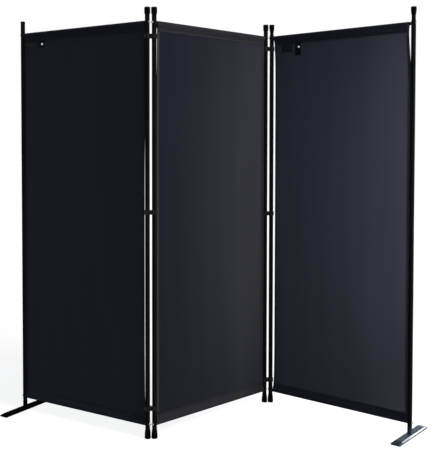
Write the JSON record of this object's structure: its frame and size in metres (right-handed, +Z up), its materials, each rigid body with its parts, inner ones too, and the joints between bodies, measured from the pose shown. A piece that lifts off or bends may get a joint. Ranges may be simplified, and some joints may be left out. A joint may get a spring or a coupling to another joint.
{
  "type": "folding room divider screen",
  "caption": "Free-standing folding screen: dark cloth sheets stretched between tube posts, hinged in a zigzag by plastic clips, with flat turning feet at both ends.",
  "frame": {"origin": "on the floor, in the middle of the box round the whole zigzag as pictured", "axes": "+X along the middle panel from its left post to its right post as seen from the front, +Y to the back, +Z up"},
  "size_m": [1.225, 1.4168, 1.706],
  "materials": {
    "frame_paint": "black powder coat, satin",
    "cap_plastic": "black moulded plastic, satin",
    "clip_plastic": "black moulded plastic, matt",
    "bolt_zinc": "bright zinc plating",
    "insert_steel": "plain turned steel, hidden in the rail ends",
    "screen_cloth": "plain woven polyester, charcoal black with a blue cast",
    "foot_paint": "dark powder coat, semi-gloss",
    "label_cloth": "bare satin patch",
    "strap_webbing": "black ribbed webbing",
    "stud_metal": "plated press stud"
  },
  "bodies": {
    "middle_panel": {"middle_bottom_rail": "frame_paint", "middle_cloth": "screen_cloth", "middle_left_foot_cap": "cap_plastic", "middle_left_post_lower": "frame_paint", "middle_left_post_upper": "frame_paint", "middle_left_top_cap": "cap_plastic", "middle_rail_bolts": "bolt_zinc", "middle_rail_inserts": "insert_steel", "middle_right_foot_cap": "cap_plastic", "middle_right_post_lower": "frame_paint", "middle_right_post_upper": "frame_paint", "middle_right_top_cap": "cap_plastic", "middle_top_rail": "frame_paint"},
    "left_hinge": {"left_clip_bottom": "clip_plastic", "left_clip_middle": "clip_plastic", "left_clip_top": "clip_plastic"},
    "left_panel": {"left_bottom_rail": "frame_paint", "left_cloth": "screen_cloth", "left_label": "label_cloth", "left_left_post_lower": "frame_paint", "left_left_post_upper": "frame_paint", "left_left_top_cap": "cap_plastic", "left_press_stud": "stud_metal", "left_rail_bolts": "bolt_zinc", "left_rail_inserts": "insert_steel", "left_right_foot_cap": "cap_plastic", "left_right_post_lower": "frame_paint", "left_right_post_upper": "frame_paint", "left_right_top_cap": "cap_plastic", "left_strap": "strap_webbing", "left_top_rail": "frame_paint"},
    "left_foot": {"left_foot_plate": "foot_paint", "left_foot_socket": "foot_paint"},
    "right_hinge": {"right_clip_bottom": "clip_plastic", "right_clip_middle": "clip_plastic", "right_clip_top": "clip_plastic"},
    "right_panel": {"right_bottom_rail": "frame_paint", "right_cloth": "screen_cloth", "right_label": "label_cloth", "right_left_foot_cap": "cap_plastic", "right_left_post_lower": "frame_paint", "right_left_post_upper": "frame_paint", "right_left_top_cap": "cap_plastic", "right_press_stud": "stud_metal", "right_rail_bolts": "bolt_zinc", "right_rail_inserts": "insert_steel", "right_right_post_lower": "frame_paint", "right_right_post_upper": "frame_paint", "right_right_top_cap": "cap_plastic", "right_strap": "strap_webbing", "right_top_rail": "frame_paint"},
    "right_foot": {"right_foot_plate": "foot_paint", "right_foot_socket": "foot_paint"}
  },
  "joints": [
    {"name": "left_clip_turn", "type": "hinge", "parent": "middle_panel", "child": "left_hinge", "pos_m": [-0.28994, 0.00071, 0], "axis": [0, 0, -1], "range_deg": [-60.2, 44.3]},
    {"name": "left_panel_fold", "type": "hinge", "parent": "left_hinge", "child": "left_panel", "pos_m": [-0.3113, 0.01722, 0], "axis": [0, 0, -1], "range_deg": [-60.2, 44.3]},
    {"name": "left_foot_swivel", "type": "hinge", "parent": "left_panel", "child": "left_foot", "pos_m": [-0.47767, 0.65591, 0], "axis": [0, 0, 1], "range_deg": [-90, 90]},
    {"name": "right_clip_turn", "type": "hinge", "parent": "middle_panel", "child": "right_hinge", "pos_m": [0.37006, 0.00071, 0], "axis": [0, 0, -1], "range_deg": [-63.75, 40.75]},
    {"name": "right_panel_fold", "type": "hinge", "parent": "right_hinge", "child": "right_panel", "pos_m": [0.39036, -0.01709, 0], "axis": [0, 0, -1], "range_deg": [-63.75, 40.75]},
    {"name": "right_foot_swivel", "type": "hinge", "parent": "right_panel", "child": "right_foot", "pos_m": [0.47651, -0.67145, 0], "axis": [0, 0, 1], "range_deg": [-90, 90]}
  ],
  "couplings": [
    {"joint": "left_clip_turn", "follows": "left_panel_fold", "ratio": 1},
    {"joint": "right_clip_turn", "follows": "right_panel_fold", "ratio": 1}
  ]
}
